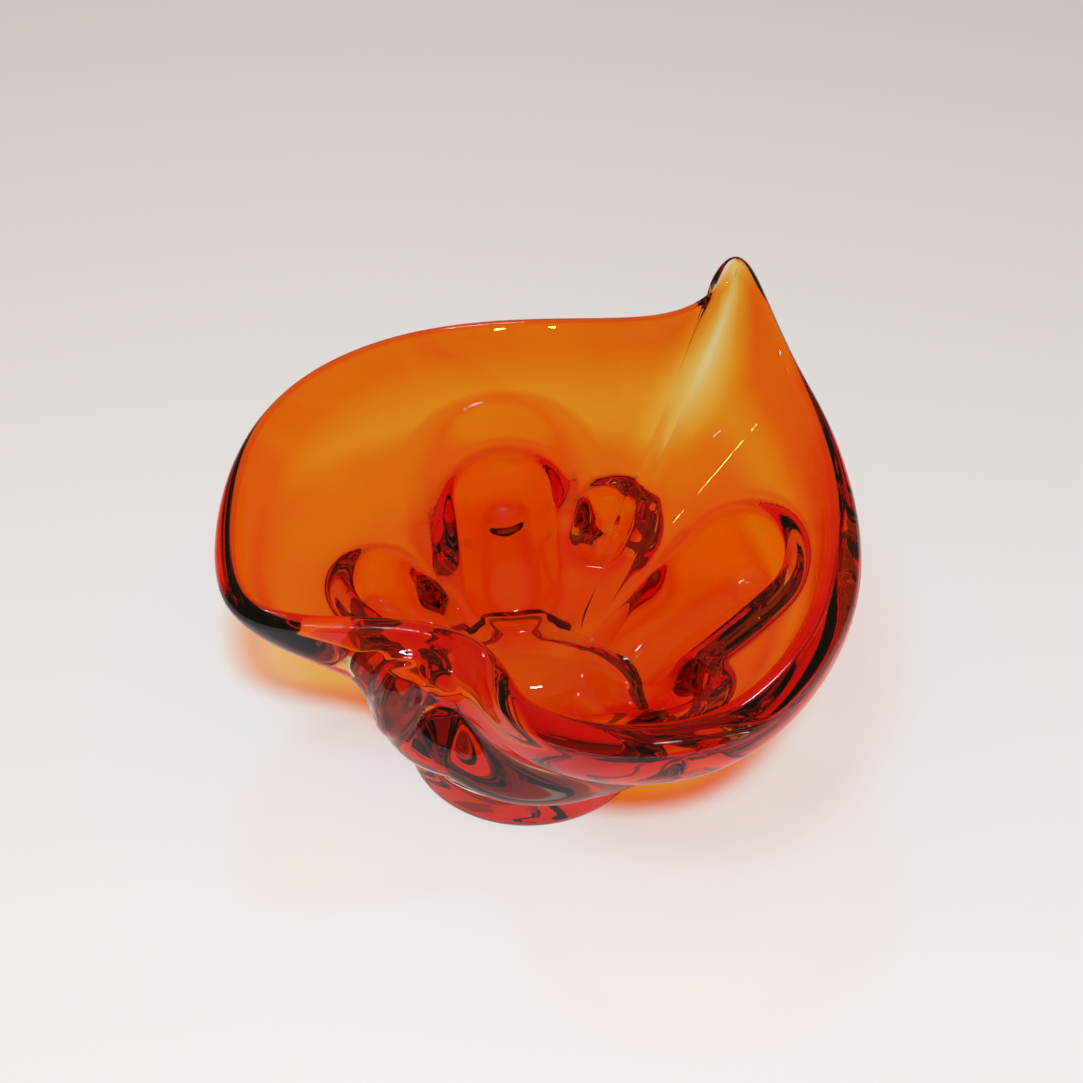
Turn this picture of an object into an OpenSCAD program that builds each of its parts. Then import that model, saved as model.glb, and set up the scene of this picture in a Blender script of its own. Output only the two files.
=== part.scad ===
// Hand-worked art glass bowl: a coloured gather cased in clear glass, on a solid clear foot.
// The rim is pulled up to one peak at the back and folded in at the front left.
// +Z is up, +X right, and the origin is the middle of the foot's flat underside.

/* [Foot] */
// Widest diameter of the foot
foot_d = 80; // [80:1:90]
// Diameter of the ground flat that the bowl stands on
foot_flat_d = 70; // [50:1:70]
// Height of the foot
foot_h = 14; // [12:1:15]
// Diameter of the joint between the foot and the bowl
neck_d = 79; // [74:1:79]

/* [Bowl] */
// Height of the middle of the floor's glass
floor_h = 20; // [19:0.5:24]
// Height of the wall where it leaves the well
well_h = 42; // [39:1:44]
// Thickness of the wall halfway up
wall_t = 11; // [10:0.5:12]
// Depth of glass between the middle of the wall and the outside, low on the bowl
skirt_t = 20; // [18:0.5:22]
// How far the flare hangs below a straight line to the rim
flare_sag = 2; // [0:0.5:5]
// How far below the lip an upright wall starts to turn up
upright_drop = 22; // [16:1:26]
// How far an upright wall bulges beyond the lip
upright_out = 5; // [0:1:8]

/* [Colour layer] */
// Thickness of the coloured layer in the well
colour_t = 3.2; // [2.6:0.1:4]
// Thickness of the coloured layer near the rim
colour_rim_t = 2; // [1.6:0.1:3]
// Extra thickness of the coloured layer where it turns over the lip
colour_edge_t = 1.6; // [0:0.2:1.8]

/* [Lobes] */
// Depth of every lobe, as a share of its depth in the table
lobe_share = 1; // [0.6:0.05:1.1]
// Radius of the clear prunt on each lobe
prunt_r = 10; // [8:0.5:12]

/* [Hidden] */

// Control points of the lip: x, y, z, direction of the wall below, lip thickness, well radius,
// and how steeply the wall stands under the lip, from 0 for an open flare to 1 for upright
rim = [
    [100, 6, 74, 0, 13, 42, 0.7], [101, 32, 78, 17, 11, 42, 0.6], [97, 56, 87, 31, 9, 42, 0.4],
    [90, 76, 92, 41, 8, 42, 0.3], [84, 88, 100, 46, 8, 42, 0.3], [77, 98, 114, 50, 8, 42, 0.4],
    [69, 108, 124, 54, 8, 42, 0.8], [62, 96, 112, 58, 8, 42, 0.1], [51, 96, 104, 64, 8, 42, 0],
    [36, 102, 97, 73, 8, 42, 0], [12, 109, 92, 85, 8, 42, 0], [-16, 112, 89, 99, 8, 42, 0],
    [-48, 108, 86, 115, 8, 42, 0], [-78, 92, 81, 132, 8, 42, 0.1],
    [-95, 64, 75, 149, 8, 42, 0.3], [-99, 28, 68, 166, 8, 42, 0.5],
    [-94, -2, 63, 183, 8, 42, 0.5], [-77, -9, 62, 198, 8, 42, 0.4],
    [-57, -8, 60, 211, 8, 40, 0.2], [-36, -6, 58, 222, 8, 37, 0], [-12, -12, 53, 234, 9, 34, 0],
    [-8, -38, 55, 247, 11, 36, 0.2], [10, -54, 57, 262, 13, 39, 0.5],
    [35, -60, 59, 281, 14, 40, 0.7], [60, -56, 61, 303, 14, 42, 0.8],
    [80, -39, 65, 325, 14, 42, 0.8], [94, -16, 69, 343, 14, 42, 0.8]
];
// Row of the rim list at the tip of the peak
peak = 6;

// Hollow lobes: where the spine starts and ends, each as a place along the rim list and a
// share of the way up the wall, then half width, depth and prunt height. The fourth is the
// wide dish round the third, and has no prunt.
lobes = [
    [0.3, 0.40, 1.3, 0.70, 19, 24, 3], [7.6, 0.53, 7.6, 0.57, 11, 15, 4],
    [10.9, 0.42, 10.9, 0.62, 18, 20, 4], [10.9, 0.45, 10.9, 0.67, 27, 9, 0],
    [14.2, 0.42, 14.2, 0.56, 13, 17, 4], [18.4, 0.50, 18.4, 0.68, 10, 4, 4],
    [25.5, 0.36, 25.5, 0.55, 14, 14, 6]
];

// Control points of the floor: radius of the flat part and of the turn, and how far it rises
floor_flat_r = 14;
floor_turn_r = 28;
floor_rise = 4;

// Share of the way up the wall where the skirt ends, where it begins to thicken towards that
// end, and how far it carries straight on below
skirt_v = 0.4;
skirt_top_v = 0.65;
ease_run = 8;

// How much wider and deeper than the air face each lobe is on the seam and on the outside
seam_grow = 3;
seam_extra = 1.2;
skirt_grow = 8;
skirt_extra = 1;

// Height of the widest part of the foot
foot_low = 5;

// Spacing of the surface grids, with steps counted from one row of the rim list to the next
steps = 4;
around = len(rim) * steps;
wall_rows = 16;
edge_rows = 6;
lip_rows = 4;
skirt_rows = 11;
ease_rows = 3;
nudge = 0.001;

function smooth(x) = let (c = min(max(x, 0), 1)) c * c * (3 - 2 * c);
function unit(p) = p / max(norm(p), 1e-9);

// The rim as place, direction, lip thickness and well radius, and two softer copies of it
lips = [for (r = rim) [r[0], r[1], r[2], cos(r[3]), sin(r[3]), r[4], r[5], r[6]]];
function soften(table) = [for (i = [0:len(table) - 1])
    (table[(i + len(table) - 1) % len(table)] + 2 * table[i] + table[(i + 1) % len(table)]) / 4];
soft_lips = soften(lips);
softest_lips = soften(soften(soft_lips));

// Uniform cubic B-spline round a closed table, with u counted in rows
function rim_at(table, u) =
    let (i = floor(u), f = u - i, n = len(table),
         w = [pow(1 - f, 3), 3 * f * f * f - 6 * f * f + 4,
              -3 * f * f * f + 3 * f * f + 3 * f + 1, f * f * f] / 6)
    w * [for (k = [0:3]) table[(i + k - 1 + 2 * n) % n]];
function place_of(row) = [row[0], row[1], row[2]];
function way_of(row) = unit([row[3], row[4]]);
function sum(list) = [for (k = [0:len(list) - 1]) 1] * list;

// Bezier curve of any degree
function bezier(p, t) = len(p) == 1 ? p[0]
    : bezier([for (k = [0:len(p) - 2]) p[k] * (1 - t) + p[k + 1] * t], t);

// Control points of the middle of the wall, from the floor's centre out to the lip
function rib(u) =
    let (r = rim_at(lips, u), flat_way = way_of(r), way = [flat_way[0], flat_way[1], 0],
         well = way * r[6] + [0, 0, well_h], sag = [0, 0, flare_sag], lip = place_of(r),
         low = place_of(rim_at(softest_lips, u)), high = place_of(rim_at(soft_lips, u)),
         flared = well + 0.75 * (high - well) - sag,
         upright = lip + upright_out * unit([lip[0], lip[1], 0]) - [0, 0, upright_drop])
    [[0, 0, floor_h], way * floor_flat_r + [0, 0, floor_h],
     way * floor_turn_r + [0, 0, floor_h + floor_rise], well,
     well + 0.4 * (low - well) - sag * (1 + 2 * r[7]), flared + r[7] * (upright - flared), lip];

us = [for (i = [0:around - 1]) i / steps];
ribs = [for (u = us) rib(u)];
ribs_before = [for (u = us) rib(u - nudge)];
ribs_after = [for (u = us) rib(u + nudge)];
lip_t = [for (u = us) rim_at(lips, u)[5]];

// Place, outward normal and upward tangent of the middle of the wall
function wall(i, v) =
    let (up = bezier([for (k = [0:5]) ribs[i][k + 1] - ribs[i][k]], v),
         round = bezier(ribs_after[i], v) - bezier(ribs_before[i], v))
    [bezier(ribs[i], v), v < nudge ? [0, 0, -1] : unit(cross(round, up)), unit(up)];

function half_wall(i, v) = wall_t / 2 + (lip_t[i] - wall_t) / 2 * max(2 * v - 1, 0);

// The ends of each lobe's spine, on the middle of the wall
spines = [for (l = lobes) [bezier(rib(l[0]), l[1]), bezier(rib(l[2]), l[3])]];
function along_spine(p, spine) =
    let (run = spine[1] - spine[0]) min(max((p - spine[0]) * run / (run * run), 0), 1);
function hump(q) = q < 1 ? pow(1 - pow(q, 3), 2) : 0;

// How far the lobes push a surface outwards, with their sides widened by grow. A lobe starts
// shallow in the well and ends deep.
function push(p, v, grow, extra) =
    smooth((v - 0.16) / 0.16) * smooth((0.94 - v) / 0.12)
    * sum([for (k = [0:len(lobes) - 1])
        let (t = along_spine(p, spines[k]), near = spines[k][0] * (1 - t) + spines[k][1] * t)
        (lobes[k][5] * lobe_share + extra) * (0.5 + 0.5 * smooth(t))
            * hump(norm(p - near) / (lobes[k][4] + grow))]);

// Thickness of the coloured layer: thin up the peak, thick in the upright walls, and rounded
// off to nothing where it ends halfway over the lip
colour_end = 1.5;
function colour_thick(i, s) =
    let (row = rim_at(lips, us[i]),
         body = colour_t + (colour_rim_t - colour_t) * smooth((s - 0.3) / 0.55)
             + colour_edge_t * (1 + 2 * row[7]) * smooth((s - 0.8) / 0.25),
         thin = 1 - 0.85 * smooth(1 - abs(us[i] - peak) / 2) * smooth((s - 0.5) / 0.4),
         left = min((colour_end - s) / 0.25, 1))
    min(body * thin, 0.75 * row[5] / 2) * sqrt(max(1 - pow(1 - left, 2), 0));

// A point sunk by depth below the face that the air touches: s runs from 0 to 1 up the inside
// and from 1 to 2 over the lip
function inside(i, s, depth, grow = 0, extra = 0) =
    let (v = min(s, 1), w = wall(i, v), h = half_wall(i, v), a = 180 * max(s - 1, 0) - 90)
    s <= 1 ? w[0] + w[1] * (depth - h + push(w[0], v, grow, extra))
           : w[0] + (h - depth) * (cos(a) * w[2] + sin(a) * w[1]);

air_s = [for (j = [0:wall_rows + edge_rows]) j < wall_rows ? j / wall_rows
    : 1 + (colour_end - 1) * (j - wall_rows) / edge_rows];
air = [for (s = air_s) [for (i = [0:around - 1]) inside(i, s, 0)]];
seam = [for (s = air_s) let (fade = min((colour_end - s) / 0.3, 1))
    [for (i = [0:around - 1])
        inside(i, s, colour_thick(i, s), seam_grow * fade, seam_extra * fade)]];

// Outside of the casing, from the end of the colour over the lip and down to the neck
lip = [for (j = [1:lip_rows]) [for (i = [0:around - 1])
    inside(i, colour_end + (2 - colour_end) * j / lip_rows, 0)]];
function skirt_at(i, v) =
    let (w = wall(i, v), h = half_wall(i, v),
         k = smooth((skirt_top_v - v) / (skirt_top_v - skirt_v)))
    w[0] + w[1] * (h + (skirt_t - h) * k
        + push(w[0], v, skirt_grow, skirt_extra) * (1 - 0.5 * k));
function skirt_share(j) = 1 - (1 - skirt_v) * j / (skirt_rows + 1);
skirt = [for (j = [1:skirt_rows]) [for (i = [0:around - 1]) skirt_at(i, skirt_share(j))]];

// Rows that carry the skirt on smoothly from its last row to the neck
function ease_at(i, t) =
    let (start = skirt_at(i, skirt_v), way = way_of(rim_at(lips, us[i])))
    bezier([start, start - ease_run * wall(i, skirt_v)[2],
            [way[0] * neck_d / 2, way[1] * neck_d / 2, foot_h]], t);
ease = [for (j = [0:ease_rows]) [for (i = [0:around - 1]) ease_at(i, j / ease_rows)]];

// Triangles between neighbouring rings, which start at ring a and run to ring b
function band(a, b) = [for (j = [a:b - 1], i = [0:around - 1])
    let (p = j * around + i, q = j * around + (i + 1) % around)
    each [[p, q, q + around], [p, q + around, p + around]]];
function flipped(faces) = [for (f = faces) [f[2], f[1], f[0]]];
// A fan from one ring to a point
function fan(ring, point) = [for (i = [0:around - 1])
    [ring * around + i, point, ring * around + (i + 1) % around]];
function flat_list(rings) = [for (r = rings) each r];

// The two skins of the coloured layer share their last ring
module colour_gather() {
    n = len(air) - 1;
    rings = concat([for (j = [1:n]) air[j]], [for (j = [n - 1:-1:1]) seam[j]]);
    count = len(rings) * around;
    color("darkorange") polyhedron(concat(flat_list(rings), [air[0][0], seam[0][0]]),
        concat(band(0, len(rings) - 1), fan(0, count), flipped(fan(len(rings) - 1, count + 1))));
}

module clear_casing() {
    n = len(seam) - 1;
    rings = concat([for (j = [1:n]) seam[j]], lip, skirt, ease);
    count = len(rings) * around;
    color("lightyellow", 0.5) polyhedron(
        concat(flat_list(rings), [seam[0][0], [0, 0, foot_h]]),
        concat(band(0, len(rings) - 1), fan(0, count), flipped(fan(len(rings) - 1, count + 1))));
}

// Solid disc with a rounded side and a ground flat
module foot() {
    r = foot_d / 2;
    flat_r = foot_flat_d / 2;
    neck_r = neck_d / 2;
    color("lightyellow", 0.5) rotate_extrude($fn = 96) polygon(concat(
        [[0, foot_h], [0, 0]],
        [for (a = [-90:15:0]) [flat_r + (r - flat_r) * cos(a), foot_low * (1 + sin(a))]],
        [for (a = [15:15:75])
            [neck_r + (r - neck_r) * cos(a), foot_low + (foot_h - foot_low) * sin(a)]],
        [[neck_r, foot_h]]));
}

// Clear bead fused on the outside of lobe k: a cap over the skirt, which fades out before the
// skirt's lowest row and is left out where it would be thinner than least
module prunt(k) {
    middle = spines[k][1];
    cells = skirt_rows - 1;
    lowest_v = skirt_share(skirt_rows);
    spots = [for (j = [0:cells], i = [0:around - 1])
        let (v = skirt_share(j + 1), w = wall(i, v),
             open = smooth((v - lowest_v) / 0.05) * smooth((0.85 - v) / 0.05))
        [w[1], open * lobes[k][6] * hump(norm(w[0] - middle) / prunt_r)]];
    under = flat_list(skirt);
    least = 0.02;
    tall = [for (s = spots) s[1] > least];
    faces = [for (f = band(0, cells)) if (tall[f[0]] || tall[f[1]] || tall[f[2]]) f];
    count = len(under);
    over = [for (m = [0:count - 1]) under[m] + spots[m][0] * (tall[m] ? spots[m][1] : 0)];
    top = [for (f = faces) [for (m = f) tall[m] ? m + count : m]];
    color("ivory", 0.6) polyhedron(concat(under, over), concat(top, flipped(faces)));
}

colour_gather();
clear_casing();
foot();
prunt(0);  // prunt_right
prunt(1);  // prunt_back_right
prunt(2);  // prunt_back
prunt(4);  // prunt_left
prunt(5);  // prunt_front_left
prunt(6);  // prunt_front_right
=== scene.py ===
import math

import bpy
import numpy as np
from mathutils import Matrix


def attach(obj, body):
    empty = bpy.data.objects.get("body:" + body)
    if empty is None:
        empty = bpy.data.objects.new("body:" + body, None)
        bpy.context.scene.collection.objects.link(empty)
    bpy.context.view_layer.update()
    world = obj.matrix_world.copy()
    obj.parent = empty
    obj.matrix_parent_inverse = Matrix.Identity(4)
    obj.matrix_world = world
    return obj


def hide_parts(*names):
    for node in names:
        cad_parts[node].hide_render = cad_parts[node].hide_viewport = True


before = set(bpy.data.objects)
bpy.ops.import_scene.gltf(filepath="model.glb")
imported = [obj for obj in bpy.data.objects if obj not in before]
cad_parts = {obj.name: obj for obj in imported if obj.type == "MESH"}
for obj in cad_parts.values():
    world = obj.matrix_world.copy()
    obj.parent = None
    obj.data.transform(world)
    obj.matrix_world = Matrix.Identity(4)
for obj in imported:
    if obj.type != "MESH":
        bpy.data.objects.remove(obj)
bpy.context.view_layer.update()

# The bowl is worked out in millimetres, as its CAD model is, and built in metres.
MM = 0.001

# ---------------------------------------------------------------- dimensions
FOOT_R = 40.0
FOOT_FLAT_R = 35.0
FOOT_H = 14.0
FOOT_LOW = 5.0
NECK_R = 39.5
FLOOR_H = 20.0
WELL_H = 42.0
WALL_T = 11.0
SKIRT_T = 20.0
SAG = 2.0
COLOUR_T = 3.2
COLOUR_RIM_T = 2.0
COLOUR_EDGE_T = 1.6
UPRIGHT_DROP = 22.0
UPRIGHT_OUT = 5.0
PRUNT_R = 10.0
GAP = 0.05               # air film that keeps fused faces of two pieces apart

# Control points of the floor: radius of the flat part and of the turn, and how far it rises
FLOOR_FLAT_R = 14
FLOOR_TURN_R = 28
FLOOR_RISE = 4

# Share of the way up the wall where the skirt ends, where it begins to thicken towards that
# end, and how far it carries straight on below
SKIRT_V = 0.40
SKIRT_TOP_V = 0.65
EASE_RUN = 8.0

# How much wider and deeper than the air face each lobe is on the seam and on the outside
SEAM_GROW = 3
SEAM_EXTRA = 1.2
SKIRT_GROW = 8
SKIRT_EXTRA = 1

# Shares of the way up the wall between which beads are made, how quickly they fade in there,
# and the least height that is kept
BEAD_LOW_V = 0.45
BEAD_HIGH_V = 0.85
BEAD_FADE = 0.05
LEAST = 0.02

# Where the colour ends, halfway over the lip, and the thickness share at which it is darkest
COLOUR_END = 1.5
DEEPEST = 2.0

# Control points of the lip: x, y, z, direction of the wall below, lip thickness, well radius,
# and how steeply the wall stands under the lip, from 0 for an open flare to 1 for upright
RIM = np.array([
    [100, 6, 74, 0, 13, 42, 0.7], [101, 32, 78, 17, 11, 42, 0.6], [97, 56, 87, 31, 9, 42, 0.4],
    [90, 76, 92, 41, 8, 42, 0.3], [84, 88, 100, 46, 8, 42, 0.3], [77, 98, 114, 50, 8, 42, 0.4],
    [69, 108, 124, 54, 8, 42, 0.8], [62, 96, 112, 58, 8, 42, 0.1], [51, 96, 104, 64, 8, 42, 0],
    [36, 102, 97, 73, 8, 42, 0], [12, 109, 92, 85, 8, 42, 0], [-16, 112, 89, 99, 8, 42, 0],
    [-48, 108, 86, 115, 8, 42, 0], [-78, 92, 81, 132, 8, 42, 0.1],
    [-95, 64, 75, 149, 8, 42, 0.3], [-99, 28, 68, 166, 8, 42, 0.5],
    [-94, -2, 63, 183, 8, 42, 0.5], [-77, -9, 62, 198, 8, 42, 0.4],
    [-57, -8, 60, 211, 8, 40, 0.2], [-36, -6, 58, 222, 8, 37, 0], [-12, -12, 53, 234, 9, 34, 0],
    [-8, -38, 55, 247, 11, 36, 0.2], [10, -54, 57, 262, 13, 39, 0.5],
    [35, -60, 59, 281, 14, 40, 0.7], [60, -56, 61, 303, 14, 42, 0.8],
    [80, -39, 65, 325, 14, 42, 0.8], [94, -16, 69, 343, 14, 42, 0.8],
], float)
PEAK = 6

# Hollow lobes: CAD node of the prunt, where the spine starts and ends, each as a place along
# the rim table and a share of the way up the wall, then half width, depth and prunt height.
# The fourth is the wide dish round the third, and has no prunt.
LOBES = [
    ("prunt_right", 0.3, 0.40, 1.3, 0.70, 19, 24, 3),
    ("prunt_back_right", 7.6, 0.53, 7.6, 0.57, 11, 15, 4),
    ("prunt_back", 10.9, 0.42, 10.9, 0.62, 18, 20, 4),
    ("", 10.9, 0.45, 10.9, 0.67, 27, 9, 0),
    ("prunt_left", 14.2, 0.42, 14.2, 0.56, 13, 17, 4),
    ("prunt_front_left", 18.4, 0.50, 18.4, 0.68, 10, 4, 4),
    ("prunt_front_right", 25.5, 0.36, 25.5, 0.55, 14, 14, 6),
]

# Fineness of the meshes: columns between two control points of the lip, then rows up the wall,
# round its edge, over the lip, down the skirt and to the neck
STEPS = 14
WALL_ROWS = 84
EDGE_ROWS = 30
LIP_ROWS = 12
SKIRT_ROWS = 60
EASE_ROWS = 10
FOOT_SIDES = 192
FOOT_ARC_ROWS = 14
EDGE_FROM = 0.645        # share of the air face, up to the colour's end, that has wall rows

US = np.arange(len(RIM) * STEPS) / STEPS
AROUND = len(US)


# ---------------------------------------------------------------- the wall's surface
def smooth(x):
    c = np.clip(x, 0, 1)
    return c * c * (3 - 2 * c)


def unit(p):
    return p / np.maximum(np.linalg.norm(p, axis=-1, keepdims=True), 1e-9)


def soften(table):
    return (np.roll(table, 1, axis=0) + 2 * table + np.roll(table, -1, axis=0)) / 4


# The rim as place, direction, lip thickness and well radius, and two softer copies of it
WAYS = np.radians(RIM[:, 3])
LIPS = np.column_stack([RIM[:, :3], np.cos(WAYS), np.sin(WAYS), RIM[:, 4:]])
SOFT_LIPS = soften(LIPS)
SOFTEST_LIPS = soften(soften(SOFT_LIPS))


def rim_at(table, u):
    """Uniform cubic B-spline round a closed table, with u counted in rows."""
    i = np.floor(u).astype(int)
    f = u - i
    weights = [(1 - f) ** 3, 3 * f ** 3 - 6 * f * f + 4, -3 * f ** 3 + 3 * f * f + 3 * f + 1, f ** 3]
    return sum(w[:, None] / 6 * table[(i + k - 1) % len(table)] for k, w in enumerate(weights))


def ribs(u):
    """Control points of the middle of the wall, from the floor's centre out to the lip."""
    row = rim_at(LIPS, u)
    low, high = rim_at(SOFTEST_LIPS, u)[:, :3], rim_at(SOFT_LIPS, u)[:, :3]
    way = unit(row[:, 3:5])
    zeros = np.zeros(len(u))

    def ring(r, z):
        return np.column_stack([r * way[:, 0], r * way[:, 1], zeros + z])

    well = ring(row[:, 6], WELL_H)
    lip, steep = row[:, :3], row[:, 7:]
    sag = np.array([0, 0, SAG])
    flared = well + 0.75 * (high - well) - sag
    upright = lip + UPRIGHT_OUT * unit(lip * [1, 1, 0]) - [0, 0, UPRIGHT_DROP]
    return np.stack([ring(zeros, FLOOR_H), ring(zeros + FLOOR_FLAT_R, FLOOR_H),
                     ring(zeros + FLOOR_TURN_R, FLOOR_H + FLOOR_RISE), well,
                     well + 0.4 * (low - well) - sag * (1 + 2 * steep),
                     flared + steep * (upright - flared), lip])


def bezier(points, t):
    """Bezier curve of any degree. points: degree+1, ...; t: one value for each curve."""
    n = len(points) - 1
    return sum(math.comb(n, k) * (t ** k * (1 - t) ** (n - k))[..., None] * points[k]
               for k in range(n + 1))


NUDGE = 1e-3
RIBS, BEFORE, AFTER = ribs(US), ribs(US - NUDGE), ribs(US + NUDGE)
LIP_T = rim_at(LIPS, US)[:, 5]
SPINES = [[bezier(ribs(np.array([u])), np.array([v]))[0] for u, v in (lobe[1:3], lobe[3:5])]
          for lobe in LOBES]


def wall(v):
    """Place, outward normal and upward tangent of the middle of the wall, a row of columns."""
    up = bezier(np.diff(RIBS, axis=0), v)
    around = bezier(AFTER, v) - bezier(BEFORE, v)
    out = unit(np.cross(around, up))
    out = np.where((v < NUDGE)[:, None], [0, 0, -1.0], out)
    return bezier(RIBS, v), out, unit(up)


def half_wall(v):
    return WALL_T / 2 + (LIP_T - WALL_T) / 2 * np.maximum(2 * v - 1, 0)


def hump(q):
    return np.where(q < 1, (1 - np.minimum(q, 1) ** 3) ** 2, 0)


def push(p, v, grow, extra):
    """How far the lobes push a surface outwards, with their sides widened by grow.

    A lobe starts shallow in the well and ends deep.
    """
    rise = 0
    for (*_, width, depth, _), (start, end) in zip(LOBES, SPINES):
        run = end - start
        t = np.clip((p - start) @ run / (run @ run), 0, 1)
        gap = np.linalg.norm(p - start - t[:, None] * run, axis=1)
        rise = rise + (depth + extra) * (0.5 + 0.5 * smooth(t)) * hump(gap / (width + grow))
    return rise * smooth((v - 0.16) / 0.16) * smooth((0.94 - v) / 0.12)


NEAR_PEAK = smooth(1 - np.abs(US - PEAK) / 2)
STEEP = rim_at(LIPS, US)[:, 7]


def colour_thick(s):
    """Thickness of the coloured layer: thin up the peak, thick in the upright walls."""
    body = (COLOUR_T + (COLOUR_RIM_T - COLOUR_T) * smooth((s - 0.3) / 0.55)
            + COLOUR_EDGE_T * (1 + 2 * STEEP) * smooth((s - 0.8) / 0.25))
    thin = 1 - 0.85 * NEAR_PEAK * smooth((s - 0.5) / 0.4)
    left = np.minimum((COLOUR_END - s) / 0.25, 1)
    return np.minimum(body * thin, 0.75 * LIP_T / 2) * np.sqrt(np.maximum(1 - (1 - left) ** 2, 0))


def inside(s, depth, grow=0.0, extra=0.0):
    """Points sunk by depth below the air: s runs 0 to 1 up the inside, 1 to 2 over the lip."""
    v = np.minimum(s, 1)
    place, out, up = wall(v)
    h = half_wall(v)
    a = np.radians(180 * np.maximum(s - 1, 0) - 90)[:, None]
    on_wall = place + out * (depth - h + push(place, v, grow, extra))[:, None]
    on_lip = place + (h - depth)[:, None] * (np.cos(a) * up + np.sin(a) * out)
    return np.where((s <= 1)[:, None], on_wall, on_lip)


def skirt_at(v):
    place, out, _ = wall(v)
    h = half_wall(v)
    k = smooth((SKIRT_TOP_V - v) / (SKIRT_TOP_V - SKIRT_V))
    pushed = push(place, v, SKIRT_GROW, SKIRT_EXTRA) * (1 - 0.5 * k)
    return place + out * (h + (SKIRT_T - h) * k + pushed)[:, None]


def share(j):
    """How far row j is from the floor's centre to the colour's end, from 0 to 1."""
    if j < WALL_ROWS:
        return EDGE_FROM * j / WALL_ROWS
    return EDGE_FROM + (1 - EDGE_FROM) * (j - WALL_ROWS) / EDGE_ROWS


ones = np.ones(AROUND)
AIR_S = [COLOUR_END * share(j) * ones for j in range(WALL_ROWS + EDGE_ROWS + 1)]


def air_rows():
    return [inside(s, 0 * ones) for s in AIR_S]


def seam_rows(gap):
    """The seam between colour and casing, sunk deeper by gap, and still meeting the air face."""
    rows = []
    for s in AIR_S:
        fade = np.minimum((COLOUR_END - s) / 0.3, 1)
        closing = np.minimum(fade * 20, 1)
        rows.append(inside(s, colour_thick(s) + gap * closing,
                           SEAM_GROW * fade, SEAM_EXTRA * fade))
    return rows


def lip_rows():
    return [inside((COLOUR_END + (2 - COLOUR_END) * j / LIP_ROWS) * ones, 0 * ones)
            for j in range(1, LIP_ROWS + 1)]


SKIRT_VS = [1 - (1 - SKIRT_V) * j / (SKIRT_ROWS + 1) for j in range(1, SKIRT_ROWS + 1)]
SKIRT = [skirt_at(v * ones) for v in SKIRT_VS]


def ease_rows():
    """Rows that carry the skirt on smoothly from its last row to the neck."""
    start, up = skirt_at(SKIRT_V * ones), wall(SKIRT_V * ones)[2]
    way = unit(rim_at(LIPS, US)[:, 3:5])
    neck = np.column_stack([way * NECK_R, ones * (FOOT_H + GAP)])
    turn = start - EASE_RUN * up
    ts = [j / EASE_ROWS for j in range(EASE_ROWS + 1)]
    return [(1 - t) ** 2 * start + 2 * t * (1 - t) * turn + t * t * neck for t in ts]


# ---------------------------------------------------------------- meshes
def band(a, b):
    """Faces between neighbouring rings, from ring a to ring b."""
    return [(j * AROUND + i, j * AROUND + (i + 1) % AROUND,
             (j + 1) * AROUND + (i + 1) % AROUND, (j + 1) * AROUND + i)
            for j in range(a, b) for i in range(AROUND)]


def fan(ring, point, flip=False):
    faces = [(ring * AROUND + i, point, ring * AROUND + (i + 1) % AROUND) for i in range(AROUND)]
    return [f[::-1] for f in faces] if flip else faces


def volume(points, faces):
    """Signed volume, which is negative where the faces look inwards."""
    corners = np.array([f[:3] for f in faces] + [(f[0], f[2], f[3]) for f in faces if len(f) == 4])
    a, b, c = (points[corners[:, k]] for k in range(3))
    return np.einsum("ij,ij->", a, np.cross(b, c)) / 6


def sharpen(mesh, fused):
    """Breaks the shading where a face that air touches meets a fused one."""
    edge_of = np.zeros(len(mesh.loops), int)
    mesh.loops.foreach_get("edge_index", edge_of)
    totals = np.zeros(len(mesh.polygons), int)
    mesh.polygons.foreach_get("loop_total", totals)
    side = np.repeat(fused > 0.5, totals)
    count = len(mesh.edges)
    mixed = (np.bincount(edge_of[side], minlength=count) > 0) & (
        np.bincount(edge_of[~side], minlength=count) > 0)
    mesh.attributes.new("sharp_edge", "BOOLEAN", "EDGE").data.foreach_set("value", mixed)


def piece(name, points, faces, fused, material, nodes, extra=None):
    """A smooth closed mesh in metres. fused marks the faces that touch another piece."""
    points = np.asarray(points, float)
    faces = [tuple(map(int, f)) for f in faces]
    if volume(points, faces) < 0:
        faces = [f[::-1] for f in faces]
    mesh = bpy.data.meshes.new(name)
    mesh.from_pydata((points * MM).tolist(), [], faces)
    mesh.attributes.new("fused", "FLOAT", "FACE").data.foreach_set(
        "value", np.asarray(fused, np.float32))
    for key, values in (extra or {}).items():
        mesh.attributes.new(key, "FLOAT", "POINT").data.foreach_set(
            "value", np.asarray(values, np.float32))
    mesh.polygons.foreach_set("use_smooth", np.ones(len(faces), bool))
    sharpen(mesh, np.asarray(fused))
    mesh.validate()
    mesh.update()
    thing = bpy.data.objects.new(name, mesh)
    bpy.context.scene.collection.objects.link(thing)
    mesh.materials.append(material)
    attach(thing, "root")
    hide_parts(*nodes)
    return thing


def prunt_heights(k):
    """Height of bead k over each point of the skirt."""
    middle = SPINES[k][1]
    heights = []
    for v in SKIRT_VS:
        place = wall(v * ones)[0]
        opening = smooth((v - BEAD_LOW_V) / BEAD_FADE) * smooth((BEAD_HIGH_V - v) / BEAD_FADE)
        cap = hump(np.linalg.norm(place - middle, axis=1) / PRUNT_R)
        heights.append(opening * LOBES[k][7] * cap)
    return np.concatenate(heights)


SKIRT_FACES = np.array(band(0, SKIRT_ROWS - 1))
SKIRT_POINTS = np.concatenate(SKIRT)
SKIRT_NORMALS = np.concatenate([wall(v * ones)[1] for v in SKIRT_VS])
BEADS = [prunt_heights(k) for k in range(len(LOBES))]


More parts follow.
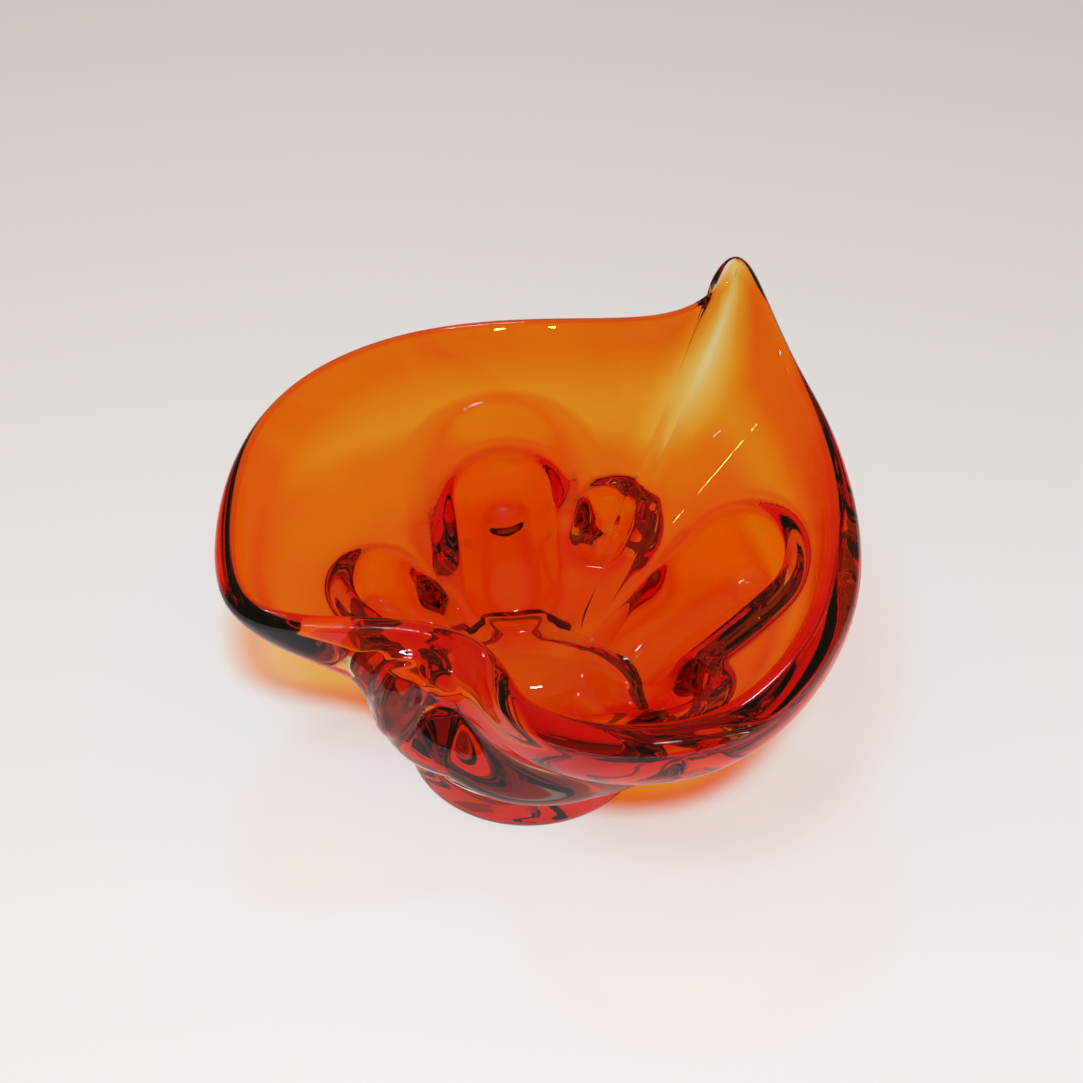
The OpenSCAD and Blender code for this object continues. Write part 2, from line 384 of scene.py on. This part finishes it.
def drawn_depth(s):
    """Depth of colour on the air face: paler in the well, and deeper in the upright walls."""
    thick = np.clip(colour_thick(s) / COLOUR_T, 0, 1.2) ** 1.5
    steep = 1 + STEEP * smooth((s - 0.4) / 0.3)
    well = 0.55 + 0.45 * smooth((s - 0.25) / 0.35)
    return thick * steep * well / DEEPEST


def make_colour(material):
    air, seam = air_rows(), seam_rows(0.0)
    n = len(air) - 1
    rings = air[1:] + seam[n - 1:0:-1]
    count = len(rings) * AROUND
    points = np.concatenate(rings + [air[0][:1], seam[0][:1]])
    faces = band(0, len(rings) - 1) + fan(0, count) + fan(len(rings) - 1, count + 1, True)
    fused = np.concatenate([np.repeat([0.0] * (n - 1) + [1.0] * (n - 1), AROUND),
                            np.zeros(AROUND), np.ones(AROUND)])
    drawn = [drawn_depth(s) for s in AIR_S]
    deep = np.concatenate(drawn[1:] + drawn[n - 1:0:-1] + [drawn[0][:2]])
    return piece("colour_layer", points, faces, fused, material,
                 ["colour_gather"], {"deep": deep})


def make_casing(material):
    seam = seam_rows(GAP)
    n = len(seam) - 1
    rings = seam[1:] + lip_rows() + SKIRT + ease_rows()
    count = len(rings) * AROUND
    points = np.concatenate(rings + [seam[0][:1], [[0, 0, FOOT_H + GAP]]])
    faces = band(0, len(rings) - 1) + fan(0, count) + fan(len(rings) - 1, count + 1, True)
    covered = sum((b > LEAST)[SKIRT_FACES].any(axis=1) for b in BEADS) > 0
    fused = np.concatenate([np.ones((n - 1) * AROUND), np.zeros((LIP_ROWS + 1) * AROUND),
                            covered, np.zeros((EASE_ROWS + 1) * AROUND), np.ones(2 * AROUND)])
    return piece("casing", points, faces, fused, material, ["clear_casing"])


def make_prunt(k, material):
    name = LOBES[k][0]
    tall = BEADS[k] > LEAST
    faces = SKIRT_FACES[tall[SKIRT_FACES].any(axis=1)]
    under = SKIRT_POINTS + SKIRT_NORMALS * GAP
    over = under + SKIRT_NORMALS * (BEADS[k] * tall)[:, None]
    count = len(under)
    top = np.where(tall[faces], faces + count, faces)
    every = np.concatenate([top, faces[:, ::-1]])
    used, renamed = np.unique(every, return_inverse=True)
    points = np.concatenate([under, over])[used]
    fused = np.repeat([0.0, 1.0], len(faces))
    return piece(name.replace("prunt", "bead"), points, renamed.reshape(every.shape), fused,
                 material, [name])


def make_foot(material):
    def arc(first, last, r0, r, z0, h):
        a = np.radians(np.linspace(first, last, FOOT_ARC_ROWS, endpoint=False))
        return np.column_stack([r0 + r * np.cos(a), z0 + h * np.sin(a)])

    # The rings inside the two flats keep their shading flat up to the edge.
    profile = np.concatenate([
        [[FOOT_FLAT_R * 0.5, 0], [FOOT_FLAT_R - 1, 0]],
        arc(-90, 0, FOOT_FLAT_R, FOOT_R - FOOT_FLAT_R, FOOT_LOW, FOOT_LOW),
        arc(0, 90, NECK_R, FOOT_R - NECK_R, FOOT_LOW, FOOT_H - FOOT_LOW),
        [[NECK_R, FOOT_H], [NECK_R - 0.5, FOOT_H], [NECK_R * 0.5, FOOT_H]],
    ])
    turn = np.linspace(0, 2 * np.pi, FOOT_SIDES, endpoint=False)
    points = np.concatenate([
        np.column_stack([r * np.cos(turn), r * np.sin(turn), z + 0 * turn]) for r, z in profile])
    rows = len(profile)
    faces = [(j * FOOT_SIDES + i, j * FOOT_SIDES + (i + 1) % FOOT_SIDES,
              (j + 1) * FOOT_SIDES + (i + 1) % FOOT_SIDES, (j + 1) * FOOT_SIDES + i)
             for j in range(rows - 1) for i in range(FOOT_SIDES)]
    low, high = rows * FOOT_SIDES, rows * FOOT_SIDES + 1
    top = (rows - 1) * FOOT_SIDES
    for i in range(FOOT_SIDES):
        after = (i + 1) % FOOT_SIDES
        faces += [(low, after, i), (top + i, top + after, high)]
    points = np.concatenate([points, [[0, 0, 0], [0, 0, FOOT_H]]])
    fused = np.zeros(len(faces))
    joint = profile[:, 1] >= FOOT_H
    for j in range(rows - 1):
        fused[j * FOOT_SIDES:(j + 1) * FOOT_SIDES] = joint[j] and joint[j + 1]
    fused[(rows - 1) * FOOT_SIDES + 1::2] = 1
    return piece("solid_foot", points, faces, fused, material, ["foot"])


# ---------------------------------------------------------------- materials
IOR = 1.5
RIPPLE = 0.03            # strength of the faint ripples of hand-worked glass


def new_material(name):
    mat = bpy.data.materials.new(name)
    mat.use_nodes = True
    mat.node_tree.nodes.clear()
    return mat, mat.node_tree


def node(tree, kind, **inputs):
    """A new node with constants on its inputs, whose names have _ for a space."""
    made = tree.nodes.new(kind)
    for name, value in inputs.items():
        made.inputs[name.replace("_", " ")].default_value = value
    return made


def attribute(tree, name):
    made = node(tree, "ShaderNodeAttribute")
    made.attribute_name = name
    return made.outputs["Fac"]


def glass(name, lamp_colour):
    """Glass on the faces that air touches, and nothing at all where two pieces are fused.

    Lamps shine straight through it, tinted by lamp_colour at each face.
    """
    mat, tree = new_material(name)
    link = tree.links.new
    body = node(tree, "ShaderNodeBsdfPrincipled", Transmission_Weight=1.0, IOR=IOR, Roughness=0.0)
    coords = node(tree, "ShaderNodeTexCoord")
    ripple = node(tree, "ShaderNodeTexNoise", Scale=28.0, Detail=1.0)
    link(coords.outputs["Object"], ripple.inputs["Vector"])
    relief = node(tree, "ShaderNodeBump", Strength=RIPPLE, Distance=0.002)
    link(ripple.outputs["Fac"], relief.inputs["Height"])
    link(relief.outputs["Normal"], body.inputs["Normal"])
    lamps = node(tree, "ShaderNodeBsdfTransparent", Color=lamp_colour)
    path = node(tree, "ShaderNodeLightPath")
    open_to_lamps = node(tree, "ShaderNodeMixShader")
    link(path.outputs["Is Shadow Ray"], open_to_lamps.inputs[0])
    link(body.outputs[0], open_to_lamps.inputs[1])
    link(lamps.outputs[0], open_to_lamps.inputs[2])
    nothing = node(tree, "ShaderNodeBsdfTransparent")
    whole = node(tree, "ShaderNodeMixShader")
    link(attribute(tree, "fused"), whole.inputs[0])
    link(open_to_lamps.outputs[0], whole.inputs[1])
    link(nothing.outputs[0], whole.inputs[2])
    out = node(tree, "ShaderNodeOutputMaterial")
    link(whole.outputs[0], out.inputs["Surface"])
    return mat, tree, body, out


def amber_glass():
    mat, tree, body, out = glass("amber_glass", (1.0, 0.95, 0.90, 1))
    link = tree.links.new
    coords = node(tree, "ShaderNodeTexCoord")
    streaks = node(tree, "ShaderNodeTexNoise", Scale=16.0, Detail=3.0, Distortion=1.5)
    link(coords.outputs["Object"], streaks.inputs["Vector"])
    spread = node(tree, "ShaderNodeMapRange", From_Min=0.3, From_Max=0.7, To_Min=0.7, To_Max=1.1)
    link(streaks.outputs["Fac"], spread.inputs["Value"])
    streaked = node(tree, "ShaderNodeMath")
    streaked.operation = "MULTIPLY"
    link(attribute(tree, "deep"), streaked.inputs[0])
    link(spread.outputs["Result"], streaked.inputs[1])
    # From clear through golden to deep red
    ramp = node(tree, "ShaderNodeValToRGB")
    stops = [(0.0, (1, 1, 1, 1)), (0.1, (0.98, 0.74, 0.40, 1)), (0.25, (0.97, 0.40, 0.06, 1)),
             (0.5, (0.955, 0.15, 0.002, 1)), (1.0, (0.80, 0.01, 0.0, 1))]
    ramp.color_ramp.elements[0].color = stops[0][1]
    ramp.color_ramp.elements[-1].color = stops[-1][1]
    for place, colour in stops[1:-1]:
        ramp.color_ramp.elements.new(place).color = colour
    link(streaked.outputs[0], ramp.inputs["Fac"])
    link(ramp.outputs["Color"], body.inputs["Base Color"])
    depth = node(tree, "ShaderNodeVolumeAbsorption", Color=(0.994, 0.80, 0.0, 1), Density=1500.0)
    link(depth.outputs[0], out.inputs["Volume"])
    return mat


def clear_glass():
    mat, _, body, _ = glass("clear_glass", (1, 1, 1, 1))
    body.inputs["Base Color"].default_value = (0.99, 0.99, 0.985, 1)
    return mat


def floor_material():
    mat, tree = new_material("pale_floor")
    body = node(tree, "ShaderNodeBsdfPrincipled", Base_Color=(0.79, 0.80, 0.82, 1), Roughness=0.45)
    out = node(tree, "ShaderNodeOutputMaterial")
    tree.links.new(body.outputs[0], out.inputs["Surface"])
    return mat


# ---------------------------------------------------------------- camera, floor and light
def make_camera():
    tilt = math.radians(41)
    target = np.array([4.54, 44.75, 50.46]) * MM
    reach = 0.709
    data = bpy.data.cameras.new("camera")
    data.lens = 70
    data.sensor_width = 36
    data.clip_start = 0.01
    data.clip_end = 50
    camera = bpy.data.objects.new("camera", data)
    camera.location = target + reach * np.array([0, -math.cos(tilt), math.sin(tilt)])
    camera.rotation_euler = (math.pi / 2 - tilt, 0, 0)
    bpy.context.scene.collection.objects.link(camera)
    bpy.context.scene.camera = camera


def make_floor():
    mesh = bpy.data.meshes.new("floor")
    half = 3.0
    z = -0.0002
    corners = [(-half, -half, z), (half, -half, z), (half, half, z), (-half, half, z)]
    mesh.from_pydata(corners, [], [(0, 1, 2, 3)])
    mesh.materials.append(floor_material())
    floor = bpy.data.objects.new("floor", mesh)
    bpy.context.scene.collection.objects.link(floor)


# Lamps, which face straight down: middle, size, watts, colour, and whether the glass mirrors
# them. The row of small yellow ones is mirrored as dashes along the back of the lip.
WHITE = (1, 1, 1)
YELLOW = (1, 0.72, 0.12)
LAMPS = [
    ((0.10, -0.90, 1.90), (0.30, 0.30), 35.0, WHITE, False),
    ((-0.50, -0.30, 1.95), (0.60, 0.60), 7.0, WHITE, False),
    ((-0.36, -0.31, 1.60), (0.05, 0.008), 0.12, YELLOW, True),
    ((-0.46, -0.31, 1.60), (0.05, 0.008), 0.12, YELLOW, True),
    ((-0.56, -0.31, 1.60), (0.05, 0.008), 0.12, YELLOW, True),
    ((-0.66, -0.31, 1.60), (0.05, 0.008), 0.12, YELLOW, True),
    ((0.05, -0.80, 1.60), (0.30, 0.06), 2.5, WHITE, True),
    ((-0.22, 1.54, 1.60), (0.30, 0.10), 3.0, WHITE, True),
]


def make_lamp(name, middle, size, watts, colour, mirrored):
    data = bpy.data.lights.new(name, "AREA")
    data.shape = "RECTANGLE"
    data.size, data.size_y = size
    data.energy = watts
    data.color = colour
    lamp = bpy.data.objects.new(name, data)
    lamp.location = middle
    lamp.visible_glossy = mirrored
    lamp.visible_transmission = False
    bpy.context.scene.collection.objects.link(lamp)


def make_light():
    world = bpy.data.worlds.new("soft_room")
    world.use_nodes = True
    back = world.node_tree.nodes["Background"]
    back.inputs["Color"].default_value = (1.0, 0.66, 0.45, 1)
    back.inputs["Strength"].default_value = 0.20
    bpy.context.scene.world = world
    for k, lamp in enumerate(LAMPS):
        make_lamp(f"lamp_{k}", *lamp)


bpy.context.scene.view_settings.view_transform = "Standard"
# Light passes many faces on its way through the cased glass.
cycles = bpy.context.scene.cycles
cycles.max_bounces = 24
cycles.transmission_bounces = 24
cycles.transparent_max_bounces = 64
cycles.caustics_reflective = False
cycles.caustics_refractive = False

make_camera()
make_floor()
make_light()
AMBER, CLEAR = amber_glass(), clear_glass()
make_colour(AMBER)
make_casing(CLEAR)
make_foot(CLEAR)
for k, lobe in enumerate(LOBES):
    if lobe[7]:
        make_prunt(k, CLEAR)
